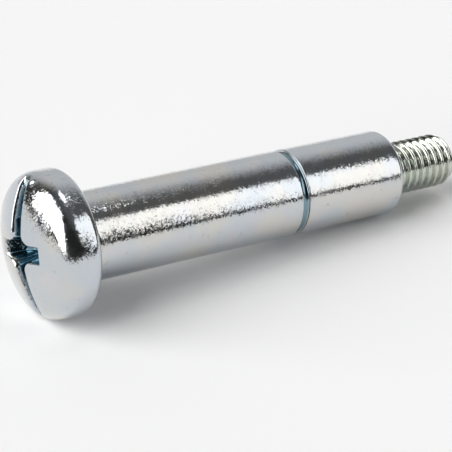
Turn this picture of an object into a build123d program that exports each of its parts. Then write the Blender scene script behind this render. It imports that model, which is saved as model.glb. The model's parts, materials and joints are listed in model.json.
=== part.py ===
from build123d import *
import os
from math import asin, atan2, cos, hypot, radians, sin, tan

# Shoulder bolt: pan head with a slot and a cross recess, plain shoulder with one ring
# groove, and a short threaded end. Millimetres.
#
# The bolt is drawn about the Z axis, with Z = 0 on the bearing face under the head, the
# thread towards +Z and the slot along X. It is then laid down as it rests on a flat
# surface, touching at the head's lower edge and at the shoulder's end, with the thread
# towards +X.

# Head
head_diameter = 20.4
head_height = 7.8
dome_radius = 20.0
head_corner_radius = 3.0
head_lower_edge_radius = 1.2
under_head_fillet = 0.4

# Shoulder
shoulder_diameter = 12.5
shoulder_length = 52.5
shoulder_end_radius = 0.75

# Ring groove, placed by its edge that is nearer the thread
groove_from_end = 16.9
groove_width = 1.15
groove_depth = 0.4

# Threaded end, drawn as a plain cylinder of the rolled M8 thread's crest diameter
thread_crest_diameter = 7.9
thread_length = 11.3
tip_chamfer_depth = 0.55
tip_chamfer_length = 1.05

# Slot across the head
slot_depth = 2.6
slot_floor_width = 1.5
slot_draft = 12.0

# Cross recess: sizes at the top of the dome, and how far each one draws in below it
cross_depth = 5.2
cross_reach = 5.15
cross_wing_width = 2.4
cross_corner_radius = 1.9
cross_reach_draft = 26.5
cross_wing_draft = 5.0
cross_bottom_corner_radius = 0.5
cross_floor_slope = 28.0

# Turn of the lying bolt about its axis, which leans the slot over from upright
lying_turn = -16.0

# Overrun of the recess tools above the dome
tool_overrun = 1.0

head_radius = head_diameter / 2
shoulder_radius = shoulder_diameter / 2
groove_radius = shoulder_radius - groove_depth
groove_end = shoulder_length - groove_from_end
groove_start = groove_end - groove_width
thread_radius = thread_crest_diameter / 2
thread_end = shoulder_length + thread_length
tip_radius = thread_radius - tip_chamfer_depth


def corner_near(outline, radius, height):
    """The corner of the outline that lies nearest a radius and a height."""
    return outline.vertices().sort_by_distance((radius, height, 0))[0]


def bolt_outline():
    """Half section of the bolt, with X as the radius and Y as the height."""
    half_span = asin(head_radius / dome_radius)
    dome_top = -head_height
    dome_rim = dome_top + dome_radius * (1 - cos(half_span))
    dome = ThreePointArc(
        (0, dome_top),
        (dome_radius * sin(half_span / 2), dome_top + dome_radius * (1 - cos(half_span / 2))),
        (head_radius, dome_rim),
    )
    side = Polyline(
        (head_radius, dome_rim),
        (head_radius, 0),
        (shoulder_radius, 0),
        (shoulder_radius, groove_start),
        (groove_radius, groove_start),
        (groove_radius, groove_end),
        (shoulder_radius, groove_end),
        (shoulder_radius, shoulder_length),
        (thread_radius, shoulder_length),
        (thread_radius, thread_end - tip_chamfer_length),
        (tip_radius, thread_end),
        (0, thread_end),
        (0, dome_top),
    )
    outline = make_face(dome + side)
    rounded = [
        (head_radius, dome_rim, head_corner_radius),
        (head_radius, 0, head_lower_edge_radius),
        (shoulder_radius, 0, under_head_fillet),
        (shoulder_radius, shoulder_length, shoulder_end_radius),
    ]
    for radius, height, round_radius in rounded:
        outline = fillet(corner_near(outline, radius, height), radius=round_radius)
    return outline


def slot_tool():
    """Straight slot with a flat floor and drafted walls, right across the head."""
    rise = slot_depth + tool_overrun
    half_floor = slot_floor_width / 2
    half_mouth = half_floor + rise * tan(radians(slot_draft))
    floor_height = -head_height + slot_depth
    mouth_height = -head_height - tool_overrun
    section = Polygon(
        (-half_floor, floor_height),
        (half_floor, floor_height),
        (half_mouth, mouth_height),
        (-half_mouth, mouth_height),
        align=None,
    )
    across = Plane(origin=(0, 0, 0), x_dir=(0, 1, 0), z_dir=(1, 0, 0))
    return extrude(across * section, amount=head_radius, both=True)


def cross_section(depth, corner_radius):
    """Outline of the cross recess at a depth below the top of the dome."""
    reach = cross_reach - depth * tan(radians(cross_reach_draft))
    width = cross_wing_width - 2 * depth * tan(radians(cross_wing_draft))
    cross = Rectangle(2 * reach, width) + Rectangle(width, 2 * reach)
    inner = cross.vertices().filter_by(lambda v: abs(v.X) < width and abs(v.Y) < width)
    cross = fillet(inner, radius=corner_radius)
    return Pos(0, 0, -head_height + depth) * cross


def cross_tool():
    """Tapered cross recess with rounded corners between its wings and a conical floor."""
    mouth = cross_section(-tool_overrun, cross_corner_radius)
    floor = cross_section(cross_depth, cross_bottom_corner_radius)
    wings = loft([mouth, floor], ruled=True)
    mouth_height = -head_height - tool_overrun
    floor_height = -head_height + cross_depth
    cone_rim = floor_height - head_radius * tan(radians(cross_floor_slope))
    space = Polygon(
        (0, mouth_height),
        (head_radius, mouth_height),
        (head_radius, cone_rim),
        (0, floor_height),
        align=None,
    )
    return wings & revolve(Plane.XZ * space, Axis.Z)


def rest_plane():
    """Plane that lays the bolt down, touching at the head's edge and the shoulder's end."""
    fall_height = (head_radius - head_lower_edge_radius) - (shoulder_radius - shoulder_end_radius)
    fall_length = shoulder_length - shoulder_end_radius + head_lower_edge_radius
    round_step = head_lower_edge_radius - shoulder_end_radius
    angle = atan2(fall_height, fall_length) + asin(round_step / hypot(fall_height, fall_length))
    return Plane(origin=(0, 0, 0), x_dir=(sin(angle), 0, cos(angle)), z_dir=(cos(angle), 0, -sin(angle)))


blank = revolve(Plane.XZ * bolt_outline(), Axis.Z)
bolt = blank - slot_tool() - cross_tool()
shoulder_bolt = rest_plane() * Rot(0, 0, lying_turn) * bolt

os.makedirs("parts", exist_ok=True)
export_step(shoulder_bolt, "parts/shoulder_bolt.step")
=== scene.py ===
"""Shoulder bolt in bright zinc plate, lying at rest on a pale floor.

The bolt is one closed mesh, drawn about its own axis in millimetres and laid down along
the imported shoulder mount. Heights run from the bearing face under the head (0) towards
the thread, so the head lies below 0.
"""

import json
import math

import bpy
import numpy as np
from mathutils import Matrix, Vector


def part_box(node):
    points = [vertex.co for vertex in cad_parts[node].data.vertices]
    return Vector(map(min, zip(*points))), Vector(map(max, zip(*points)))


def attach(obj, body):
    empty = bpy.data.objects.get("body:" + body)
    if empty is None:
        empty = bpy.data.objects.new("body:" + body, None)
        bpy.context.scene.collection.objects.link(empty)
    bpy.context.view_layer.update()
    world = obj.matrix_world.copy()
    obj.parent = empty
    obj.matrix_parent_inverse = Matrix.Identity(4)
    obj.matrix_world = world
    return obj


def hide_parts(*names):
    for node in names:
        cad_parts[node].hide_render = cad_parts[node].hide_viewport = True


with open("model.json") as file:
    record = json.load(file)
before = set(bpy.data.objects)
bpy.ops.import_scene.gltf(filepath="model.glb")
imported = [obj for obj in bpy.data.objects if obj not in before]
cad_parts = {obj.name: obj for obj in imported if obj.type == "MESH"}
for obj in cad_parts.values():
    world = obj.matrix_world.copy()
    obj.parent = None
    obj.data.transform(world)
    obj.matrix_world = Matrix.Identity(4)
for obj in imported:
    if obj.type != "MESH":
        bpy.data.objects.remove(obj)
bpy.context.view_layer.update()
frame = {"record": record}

MM = 0.001

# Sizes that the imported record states, in millimetres
mounts = {m["name"]: m for m in frame["record"]["mounts"]}
box_low, box_high = (Vector(corner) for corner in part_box("shoulder_bolt"))


def distance_along(name):
    """How far a mount's point lies from the bearing face, in millimetres."""
    return Vector(mounts[name]["pos_m"]).length / MM


head_radius = (box_high.y - box_low.y) / 2 / MM
head_height = distance_along("drive_recess")
shoulder_radius = mounts["shoulder"]["dims"]["r_mm"]
shoulder_length = distance_along("thread")
groove_middle = distance_along("ring_groove")
groove_width = mounts["ring_groove"]["dims"]["length_mm"]
groove_radius = mounts["ring_groove"]["dims"]["r_mm"]
crest_radius = mounts["thread"]["dims"]["r_mm"]

# Sizes shared with the part's source, in millimetres and degrees
dome_radius = 20.0
head_corner_radius = 3.0
head_lower_edge_radius = 1.2
under_head_fillet = 0.4
shoulder_end_radius = 0.75
thread_length = 11.3
tip_chamfer_depth = 0.55
tip_chamfer_length = 1.05
slot_depth = 2.6
slot_floor_width = 1.5
slot_draft = math.tan(math.radians(12.0))
cross_depth = 5.2
cross_reach = 5.15
cross_wing_width = 2.4
cross_corner_radius = 1.9
cross_reach_draft = math.tan(math.radians(26.5))
cross_wing_draft = math.tan(math.radians(5.0))
cross_bottom_corner_radius = 0.5
cross_floor_slope = math.tan(math.radians(28.0))
cross_overrun = 1.0
lying_turn = math.radians(-16.0)

# Centre of the round corner between the dome and the head's side, as a radius and as a
# depth below the top of the dome, and how far it lies from the dome's own centre
corner_centre = head_radius - head_corner_radius
corner_reach = dome_radius - head_corner_radius
corner_depth = dome_radius - math.sqrt(corner_reach ** 2 - corner_centre ** 2)

# The rolled thread, M8 x 1.25
pitch = 1.25
sharp_height = pitch * math.sqrt(3) / 2
crest_flat_depth = sharp_height / 8
thread_depth = sharp_height * 5 / 8
thread_edge_softness = 0.12

# How softly the punched recess rolls over at its lips, as a depth
lip_softness = 1.0

# Radius of the ring groove's edges
groove_lip = 0.1

# Depth below the dome at which the recess begins to darken to a dark blue, part blue plate
# and part painted shade, and how much deeper it is dark all through. The ring groove takes a
# fixed share of the same painted shade.
painted_shade_start = 0.25
painted_shade_fade = 0.7
groove_painted_shade = 0.9

# Small dent on the head's corner, beside the upper end of the slot
dent_at = (9.05, 1.95)
dent_length = 0.4
dent_width = 0.65
dent_depth = 0.3

# Mesh steps. A square grid covers the head's face, finer near its middle, and the rings
# of the turned body begin just outside the grid's rim.
grid_fine_half = 1.9
grid_fine_step = 0.07
grid_coarse_step = 0.15
grid_rim_radius = head_radius - 0.45
first_ring_radius = head_radius - 0.40
columns = 168
rows_a_pitch = 20
tip_ring_shares = (0.85, 0.45)

# Distance from a round edge to the next ring on the flat beside it, which keeps the
# smooth shading of the edge from spreading
seat_guard = 1.2
guard = 0.6
groove_guard = 3 * groove_lip

# Halvings in the search for the cross recess's depth
halvings = 24

# The plate: blotch sizes in millimetres, and the colours they mix
cloud_size = 7.0
blush_size = 2.4
stain_size = 1.1
gloss_size = 1.6
cool_zinc = (0.57, 0.61, 0.65, 1)
warm_zinc = (0.64, 0.63, 0.60, 1)
blush_zinc = (0.66, 0.60, 0.63, 1)
stained_zinc = (0.45, 0.42, 0.38, 1)
thread_zinc = (0.62, 0.66, 0.56, 1)
# Dark blue of the recess and the ring groove: blue plate darkened with painted shade
recess_blue_and_painted_shade = (0.16, 0.27, 0.325, 1)
thread_tint = 0.7

# Gentle waves of the surface, and the crystals of the plate. The leans say how far a
# crystal tips its normal, at its middle and at its edge.
wave_size = 3.0
wave_height = 0.005
crystal_size = 0.19
crystal_lean = 0.02
crystal_edge_lean = 0.13

# Stage: half the floor's side in metres, the world's own brightness, and the soft edge of
# its panels of light in degrees
floor_half = 0.7
floor_colour = (0.95, 0.95, 0.95, 1)
room_brightness = 0.02
panel_edge = 2.0

# Camera: where it stands, what it points at, its lens and its sensor, in millimetres
camera_place = (-103.08, -200.41, 123.99)
camera_aim = (25.16, -0.16, -5.07)
camera_lens = 151.33
sensor_width = 36.0


# --- Shape functions -----------------------------------------------------------------

def soft_max(a, b, softness):
    """The larger of two values, rounded where they meet."""
    blend = np.maximum(softness - np.abs(a - b), 0.0) / softness
    return np.maximum(a, b) + blend * blend * softness / 4


def dome_depth(radius):
    """Depth of the bare head below the top of its dome."""
    meeting = corner_centre * dome_radius / corner_reach
    sphere = dome_radius - np.sqrt(dome_radius ** 2 - np.minimum(radius, meeting) ** 2)
    reach = np.clip(radius - corner_centre, 0, head_corner_radius)
    corner = corner_depth - np.sqrt(head_corner_radius ** 2 - reach ** 2)
    return np.where(radius < meeting, sphere, corner)


def slot_depth_at(across):
    """Depth of the slot's floor and drafted walls at a distance from its middle line."""
    return slot_depth - np.maximum(np.abs(across) - slot_floor_width / 2, 0) / slot_draft


def outside_cross(x, y, depth):
    """Signed distance to the cross recess's outline at a depth, negative inside."""
    share = (depth + cross_overrun) / (cross_depth + cross_overrun)
    reach = cross_reach - depth * cross_reach_draft
    half = cross_wing_width / 2 - depth * cross_wing_draft
    corner = cross_corner_radius + share * (cross_bottom_corner_radius - cross_corner_radius)
    far, near = np.maximum(x, y), np.minimum(x, y)
    wing = np.maximum(far - reach, near - half)
    corner_x, corner_y = x - half - corner, y - half - corner
    notch = corner - np.hypot(corner_x, corner_y)
    in_corner = (x < half + corner) & (y < half + corner) & (far < reach)
    return np.where(in_corner, np.where(near < half, np.minimum(wing, notch), notch), wing)


def cross_depth_at(x, y):
    """Depth of the cross recess, found by halving between the mouth and the bottom."""
    x, y = np.abs(x), np.abs(y)
    shallow = np.full_like(x, -cross_overrun)
    deep = np.full_like(x, cross_depth)
    for _ in range(halvings):
        middle = (shallow + deep) / 2
        inside = outside_cross(x, y, middle) < 0
        shallow = np.where(inside, middle, shallow)
        deep = np.where(inside, deep, middle)
    cone = cross_depth - np.hypot(x, y) * cross_floor_slope
    return np.minimum(shallow, cone)


def head_depth(x, y):
    """Depth of the finished head below the top of its dome, and its share of painted shade,
    which grows with depth in the recess.
    """
    dome = dome_depth(np.hypot(x, y))
    recess = np.maximum(slot_depth_at(y), cross_depth_at(x, y))
    depth = soft_max(dome, recess, lip_softness)
    # Painted shade: the deeper below the dome, the more of the dark blue
    hollow = np.clip((depth - dome - painted_shade_start) / painted_shade_fade, 0, 1)
    across = np.hypot((x - dent_at[0]) / dent_length, (y - dent_at[1]) / dent_width)
    dent = dent_depth * np.clip(1 - across ** 2, 0, 1) ** 2
    return depth + dent, hollow


def thread_radius_at(height, turn):
    """Radius of the threaded end at a height above the shoulder and a turn in radians."""
    phase = np.mod(height / pitch - turn / (2 * math.pi), 1.0)
    fall = sharp_height * (1 - np.abs(2 * phase - 1)) - crest_flat_depth
    fall = soft_max(fall, 0.0, thread_edge_softness)
    fall = -soft_max(-fall, -thread_depth, thread_edge_softness)
    chamfer = (height - thread_length) * tip_chamfer_depth / tip_chamfer_length
    cone = crest_radius - tip_chamfer_depth - chamfer
    return np.minimum(crest_radius - fall, cone)


# --- Mesh building -------------------------------------------------------------------

class MeshParts:
    """Points and faces gathered piece by piece before they become one mesh."""

    def __init__(self):
        self.points = []
        self.hollow = []
        self.threaded = []
        self.faces = []
        self.count = 0

    def add(self, points, hollow=0.0, threaded=0.0):
        """Add an array of points with their thread tint and painted-shade share, and return
        the number of each.
        """
        numbers = np.arange(self.count, self.count + len(points))
        self.points.append(np.asarray(points, float))
        self.hollow.append(np.broadcast_to(hollow, len(points)))
        self.threaded.append(np.broadcast_to(threaded, len(points)))
        self.count += len(points)
        return numbers

    def strip(self, ring, next_ring):
        """Quads between two closed rings of equally many points."""
        after, next_after = np.roll(ring, -1), np.roll(next_ring, -1)
        self.faces += np.stack([ring, after, next_after, next_ring], 1).tolist()

    def zip_rings(self, ring, angles, next_ring, next_angles):
        """Triangles between two closed rings of different counts, sorted by angle."""
        i = j = 0
        ends = np.r_[angles[1:], angles[0] + 2 * math.pi]
        next_ends = np.r_[next_angles[1:], next_angles[0] + 2 * math.pi]
        while i < len(ring) or j < len(next_ring):
            a, b = ring[i % len(ring)], next_ring[j % len(next_ring)]
            if j >= len(next_ring) or (i < len(ring) and ends[i] <= next_ends[j]):
                i += 1
                self.faces.append([a, ring[i % len(ring)], b])
            else:
                j += 1
                self.faces.append([a, next_ring[j % len(next_ring)], b])


def grid_lines(half, fine_half, fine_step, coarse_step):
    """Positions from -half to half, close together near the middle."""
    fine = np.linspace(0, fine_half, round(fine_half / fine_step) + 1)
    coarse = np.linspace(fine_half, half, round((half - fine_half) / coarse_step) + 1)
    one_side = np.r_[fine, coarse[1:]]
    return np.r_[-one_side[:0:-1], one_side]


def add_head_face(parts, rim_radius):
    """The head's face with its recess, as a square grid bent to a disc. Returns its rim."""
    lines = grid_lines(rim_radius, grid_fine_half, grid_fine_step, grid_coarse_step)
    u, v = np.meshgrid(lines / rim_radius, lines / rim_radius, indexing="ij")
    x = rim_radius * u * np.sqrt(1 - v * v / 2)
    y = rim_radius * v * np.sqrt(1 - u * u / 2)
    depth, hollow = head_depth(x, y)
    points = np.stack([x, y, depth - head_height], -1).reshape(-1, 3)
    numbers = parts.add(points, hollow=hollow.ravel()).reshape(x.shape)
    quads = [numbers[:-1, :-1], numbers[:-1, 1:], numbers[1:, 1:], numbers[1:, :-1]]
    parts.faces += np.stack(quads, -1).reshape(-1, 4).tolist()
    rim = np.r_[numbers[-1, :], numbers[-2::-1, -1], numbers[0, -2::-1], numbers[1:-1, 0]]
    angles = np.arctan2(points[rim, 1], points[rim, 0])
    first = -int(np.argmin(np.abs(angles)))
    return np.roll(rim, first), np.unwrap(np.roll(angles, first))


def arc(centre_radius, centre_height, radius, start, end, steps):
    """Points of a round stretch of the section, by angle from the outward direction."""
    turns = np.radians(np.linspace(start, end, steps + 1))
    circle = [(radius * math.cos(t), radius * math.sin(t)) for t in turns]
    return [(centre_radius + out, centre_height + up) for out, up in circle]


def shank_section(rim_radius):
    """Section of the turned body, from the head's corner down to the thread."""
    corner_height = corner_depth - head_height
    rim_angle = -math.degrees(math.acos((rim_radius - corner_centre) / head_corner_radius))
    edge, fillet = head_lower_edge_radius, under_head_fillet
    lip, end = groove_lip, shoulder_end_radius
    low, high = groove_middle - groove_width / 2, groove_middle + groove_width / 2
    last_stretch = shoulder_length - high

    section = arc(corner_centre, corner_height, head_corner_radius, rim_angle, 0, steps=8)
    section += arc(head_radius - edge, -edge, edge, 0, 90, steps=12)
    section += [(shoulder_radius + fillet + seat_guard, 0)]
    section += arc(shoulder_radius + fillet, fillet, fillet, -90, -180, steps=6)
    section += [(shoulder_radius, fillet + guard)]
    section += [(shoulder_radius, low * share) for share in (0.2, 0.4, 0.6, 0.8)]
    section += [(shoulder_radius, low - groove_guard)]
    section += arc(shoulder_radius - lip, low - lip, lip, 0, 90, steps=4)
    section += [(groove_radius + lip, low), (groove_radius, low + lip)]
    section += [(groove_radius, high - lip), (groove_radius + lip, high)]
    section += arc(shoulder_radius - lip, high + lip, lip, -90, 0, steps=4)
    section += [(shoulder_radius, high + groove_guard)]
    section += [(shoulder_radius, high + last_stretch * share) for share in (0.3, 0.6, 0.9)]
    section += arc(shoulder_radius - end, shoulder_length - end, end, 0, 90, steps=10)
    section += [(crest_radius + guard, shoulder_length)]
    return section


def build_bolt():
    """The whole bolt as points and faces about its own axis."""
    parts = MeshParts()
    turns = np.linspace(0, 2 * math.pi, columns, endpoint=False)
    circle = np.stack([np.cos(turns), np.sin(turns)], -1)
    tip_height = shoulder_length + thread_length
    rings = []

    def add_ring(radius, height, **tint_and_shade):
        ring = np.column_stack([circle * radius, np.full(columns, height)])
        rings.append(parts.add(ring, **tint_and_shade))

    rim, rim_angles = add_head_face(parts, grid_rim_radius)
    for radius, height in shank_section(first_ring_radius):
        # The ring groove takes a fixed share of painted shade
        beside_groove = abs(height - groove_middle) < groove_width / 2
        in_groove = beside_groove and radius < shoulder_radius
        add_ring(radius, height, hollow=groove_painted_shade if in_groove else 0.0)
    rows = round(thread_length / (pitch / rows_a_pitch))
    for height in np.linspace(0, thread_length, rows + 1):
        radius = thread_radius_at(height, turns)[:, None]
        add_ring(radius, shoulder_length + height, threaded=1.0)
    for share in tip_ring_shares:
        add_ring((crest_radius - tip_chamfer_depth) * share, tip_height, threaded=1.0)
    for ring, next_ring in zip(rings, rings[1:]):
        parts.strip(ring, next_ring)
    tip = parts.add([[0, 0, tip_height]])[0]
    last = rings[-1]
    parts.faces += [[a, b, tip] for a, b in zip(last.tolist(), np.roll(last, -1).tolist())]
    parts.zip_rings(rim, rim_angles, rings[0], turns)
    return parts


def lying_frame():
    """Matrix from the bolt's own axis, in millimetres, to the frame, in metres."""
    along = Vector(mounts["shoulder"]["axis"]).normalized()
    upward = Vector((-along.z, 0, along.x))
    sideways = along.cross(upward)
    axes = Matrix((upward, sideways, along)).transposed()
    turned = axes @ Matrix.Rotation(lying_turn, 3, "Z")
    return turned.to_4x4() @ Matrix.Scale(MM, 4)


def add_vertex_share(mesh, name, values):
    """Store one share a vertex, of thread tint or painted shade, for the material to read.
    """
    attribute = mesh.attributes.new(name, "FLOAT", "POINT")
    attribute.data.foreach_set("value", np.concatenate(values).astype(np.float32))


def show(mesh, material):
    """An object in the scene that shows a mesh in one material, named like the mesh."""
    mesh.materials.append(material)
    shown = bpy.data.objects.new(mesh.name, mesh)
    bpy.context.scene.collection.objects.link(shown)
    return shown


def make_bolt(material):
    """The bolt as one mesh object, laid down in the frame."""
    parts = build_bolt()
    place = np.array(lying_frame())
    points = np.concatenate(parts.points) @ place[:3, :3].T + place[:3, 3]
    mesh = bpy.data.meshes.new("shoulder_bolt_zinc")
    mesh.from_pydata(points.tolist(), [], parts.faces)
    # Share of painted shade in the recess and the ring groove
    add_vertex_share(mesh, "hollow", parts.hollow)
    add_vertex_share(mesh, "threaded", parts.threaded)
    mesh.shade_smooth()
    return show(mesh, material)


# --- Materials -----------------------------------------------------------------------

class Nodes:
    """Short calls for building a node tree."""

    def __init__(self, tree):
        self.tree = tree

    def add(self, kind, **settings):
        """A new node with its settings."""
        node = self.tree.nodes.new(kind)
        for name, value in settings.items():
            setattr(node, name, value)
        return node

    def link(self, source, target):
        """Link an output socket to an input socket."""
        self.tree.links.new(source, target)

    def feed(self, socket, value):
        """Link a value that is a socket, or set one that isn't."""
        if isinstance(value, bpy.types.NodeSocket):
            self.link(value, socket)
        else:
            socket.default_value = value

    def math(self, operation, a, b=0.0):
        """Result of a math operation on two numbers."""
        node = self.add("ShaderNodeMath", operation=operation)
        self.feed(node.inputs[0], a)
        self.feed(node.inputs[1], b)
        return node.outputs[0]

    def noise(self, coordinates, size_mm, detail=2.0, roughness=0.5):
        """Noise whose blotches are about size_mm across."""
        node = self.add("ShaderNodeTexNoise")
        self.link(coordinates, node.inputs["Vector"])
        node.inputs["Scale"].default_value = 1 / (size_mm * MM)
        node.inputs["Detail"].default_value = detail
        node.inputs["Roughness"].default_value = roughness
        return node.outputs["Fac"]

    def fade(self, value, low, high, to_low=0.0, to_high=1.0):
        """Value smoothly remapped from low..high to to_low..to_high."""
        node = self.add("ShaderNodeMapRange", interpolation_type="SMOOTHSTEP")
        self.feed(node.inputs["Value"], value)
        node.inputs["From Min"].default_value = low
        node.inputs["From Max"].default_value = high
        node.inputs["To Min"].default_value = to_low
        node.inputs["To Max"].default_value = to_high
        return node.outputs["Result"]

    def mix(self, share, a, b):
        """Colour a turning into b as share goes from 0 to 1."""
        node = self.add("ShaderNodeMix", data_type="RGBA")
        self.feed(node.inputs[0], share)
        self.feed(node.inputs[6], a)
        self.feed(node.inputs[7], b)
        return node.outputs[2]

    def vector(self, operation, a, b=(0, 0, 0), result="Vector"):
        """Result of a math operation on two vectors."""
        node = self.add("ShaderNodeVectorMath", operation=operation)
        self.feed(node.inputs[0], a)
        self.feed(node.inputs[1], b)
        return node.outputs[result]

    def dot(self, a, b):
        """Dot product of two vectors, as a number."""
        return self.vector("DOT_PRODUCT", a, b, result="Value")

    def attribute(self, name):
        """A share that the mesh stores under a name, such as the thread tint or the painted
        shade.
        """
        return self.add("ShaderNodeAttribute", attribute_name=name).outputs["Fac"]


def zinc_colour(nodes, place):
    """Faintly tinted and lightly stained, greener on the thread, with a painted shade of
    dark blue in the recess and the ring groove.
    """
    clouds = nodes.noise(place, cloud_size, detail=3.0)
    clouds = nodes.fade(clouds, low=0.38, high=0.66)
    colour = nodes.mix(clouds, cool_zinc, warm_zinc)
    blush = nodes.noise(place, blush_size)
    blush = nodes.fade(blush, low=0.58, high=0.72, to_high=0.35)
    colour = nodes.mix(blush, colour, blush_zinc)
    stain = nodes.noise(place, stain_size, detail=4.0, roughness=0.65)
    stain = nodes.fade(stain, low=0.60, high=0.70, to_high=0.5)
    colour = nodes.mix(stain, colour, stained_zinc)
    thread = nodes.math("MULTIPLY", nodes.attribute("threaded"), thread_tint)
    colour = nodes.mix(thread, colour, thread_zinc)
    # Painted shade: the recess and the ring groove turn dark blue
    return nodes.mix(nodes.attribute("hollow"), colour, recess_blue_and_painted_shade)


def zinc_normal(nodes, place):
    """Gently waved, with small crystals that each lean their own way."""
    waves = nodes.add("ShaderNodeBump")
    waves.inputs["Strength"].default_value = 1.0
    waves.inputs["Distance"].default_value = wave_height * MM
    nodes.link(nodes.noise(place, wave_size, detail=1.0), waves.inputs["Height"])
    crystals = nodes.add("ShaderNodeTexVoronoi")
    nodes.link(place, crystals.inputs["Vector"])
    crystals.inputs["Scale"].default_value = 1 / (crystal_size * MM)
    lean = nodes.fade(
        crystals.outputs["Distance"],
        low=0.25, high=0.8, to_low=crystal_lean, to_high=crystal_edge_lean,
    )
    spread = nodes.add("ShaderNodeCombineXYZ")
    for axis in spread.inputs:
        nodes.link(lean, axis)

    # A crystal's random colour, centred on zero, is the way it leans
    aside = nodes.vector("SUBTRACT", crystals.outputs["Color"], (0.5, 0.5, 0.5))
    aside = nodes.vector("MULTIPLY", aside, spread.outputs["Vector"])
    return nodes.vector("NORMALIZE", nodes.vector("ADD", waves.outputs["Normal"], aside))


def make_zinc():
    """Bright zinc plate, of uneven colour and gloss, with small crystals and painted shade
    in its recess and groove.
    """
    material = bpy.data.materials.new("bright_zinc_plate")
    material.use_nodes = True
    nodes = Nodes(material.node_tree)
    shader = material.node_tree.nodes["Principled BSDF"]
    place = nodes.add("ShaderNodeTexCoord").outputs["Object"]
    gloss = nodes.noise(place, gloss_size, detail=3.0)
    roughness = nodes.fade(gloss, low=0.3, high=0.7, to_low=0.08, to_high=0.17)
    shader.inputs["Metallic"].default_value = 1.0
    nodes.link(zinc_colour(nodes, place), shader.inputs["Base Color"])
    nodes.link(roughness, shader.inputs["Roughness"])
    nodes.link(zinc_normal(nodes, place), shader.inputs["Normal"])
    return material


# --- Stage ---------------------------------------------------------------------------

def make_floor(height):
    """Plain pale floor under the bolt."""
    material = bpy.data.materials.new("pale_floor")
    material.use_nodes = True
    shader = material.node_tree.nodes["Principled BSDF"]
    shader.inputs["Base Color"].default_value = floor_colour
    shader.inputs["Roughness"].default_value = 0.9
    shader.inputs["Specular IOR Level"].default_value = 0.0
    mesh = bpy.data.meshes.new("floor")
    corners = [(-1, -1), (1, -1), (1, 1), (-1, 1)]
    points = [(x * floor_half, y * floor_half, height) for x, y in corners]
    mesh.from_pydata(points, [], [(0, 1, 2, 3)])
    floor = show(mesh, material)


def toward(azimuth, elevation):
    """Unit direction: azimuth 0 is +Y and 90 is +X, elevation is above the floor."""
    a, e = math.radians(azimuth), math.radians(elevation)
    return Vector((math.sin(a) * math.cos(e), math.cos(a) * math.cos(e), math.sin(e)))


def glow(nodes, direction, azimuth, elevation, inner, outer, strength):
    """Round soft patch that fades from an inner to an outer angle, in degrees."""
    near, far = math.cos(math.radians(inner)), math.cos(math.radians(outer))
    closeness = nodes.dot(direction, toward(azimuth, elevation))
    return nodes.fade(closeness, far, near, to_high=strength)


def panel(nodes, direction, left, right, low, high, strength):
    """Soft-edged patch of light between two azimuths and two elevations, in degrees."""
    edge = math.radians(panel_edge)
    middle, half = (left + right) / 2, math.radians(right - left) / 2
    low, high = math.radians(low), math.radians(high)
    ahead = nodes.dot(direction, toward(middle, 0))
    aside = nodes.math("ARCTAN2", nodes.dot(direction, toward(middle + 90, 0)), ahead)
    height = nodes.math("ARCSINE", nodes.dot(direction, (0, 0, 1)))
    aside = nodes.math("ABSOLUTE", aside)
    across = nodes.fade(aside, half - edge, half + edge, to_low=strength, to_high=0.0)
    above = nodes.fade(height, low - edge, low + edge)
    below = nodes.fade(height, high - edge, high + edge, to_low=1.0, to_high=0.0)
    return nodes.math("MULTIPLY", across, nodes.math("MULTIPLY", above, below))


def make_world():
    """Dim studio with soft panels of light round the bolt and a grey backdrop behind it."""
    world = bpy.data.worlds.new("studio")
    bpy.context.scene.world = world
    world.use_nodes = True
    nodes = Nodes(world.node_tree)
    way = nodes.add("ShaderNodeTexCoord").outputs["Generated"]
    lights = [
        glow(nodes, way, azimuth=30, elevation=15, inner=18, outer=61, strength=0.60),
        glow(nodes, way, azimuth=85, elevation=50, inner=38, outer=68, strength=0.09),
        panel(nodes, way, left=-125, right=-44, low=5, high=67, strength=3.65),
        panel(nodes, way, left=123, right=149, low=6, high=48, strength=1.45),
        panel(nodes, way, left=50, right=98, low=62, high=78, strength=2.6),
    ]
    brightness = room_brightness
    for light in lights:
        brightness = nodes.math("ADD", light, brightness)
    background = world.node_tree.nodes["Background"]
    background.inputs["Color"].default_value = (1, 1, 1, 1)
    nodes.link(brightness, background.inputs["Strength"])


def make_camera():
    """Camera at the viewing angle, aimed so that the whole bolt is in the picture."""
    camera = bpy.data.objects.new("camera", bpy.data.cameras.new("camera"))
    bpy.context.scene.collection.objects.link(camera)
    bpy.context.scene.camera = camera
    camera.location = Vector(camera_place) * MM
    ahead = Vector(camera_aim) * MM - camera.location
    camera.rotation_euler = ahead.to_track_quat("-Z", "Y").to_euler()
    camera.data.lens = camera_lens
    camera.data.sensor_width = sensor_width
    camera.data.clip_start = 0.01


bolt = make_bolt(make_zinc())
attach(bolt, "root")
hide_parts("shoulder_bolt")

make_camera()
make_floor(box_low.z)
make_world()
bpy.context.scene.view_settings.view_transform = "Standard"
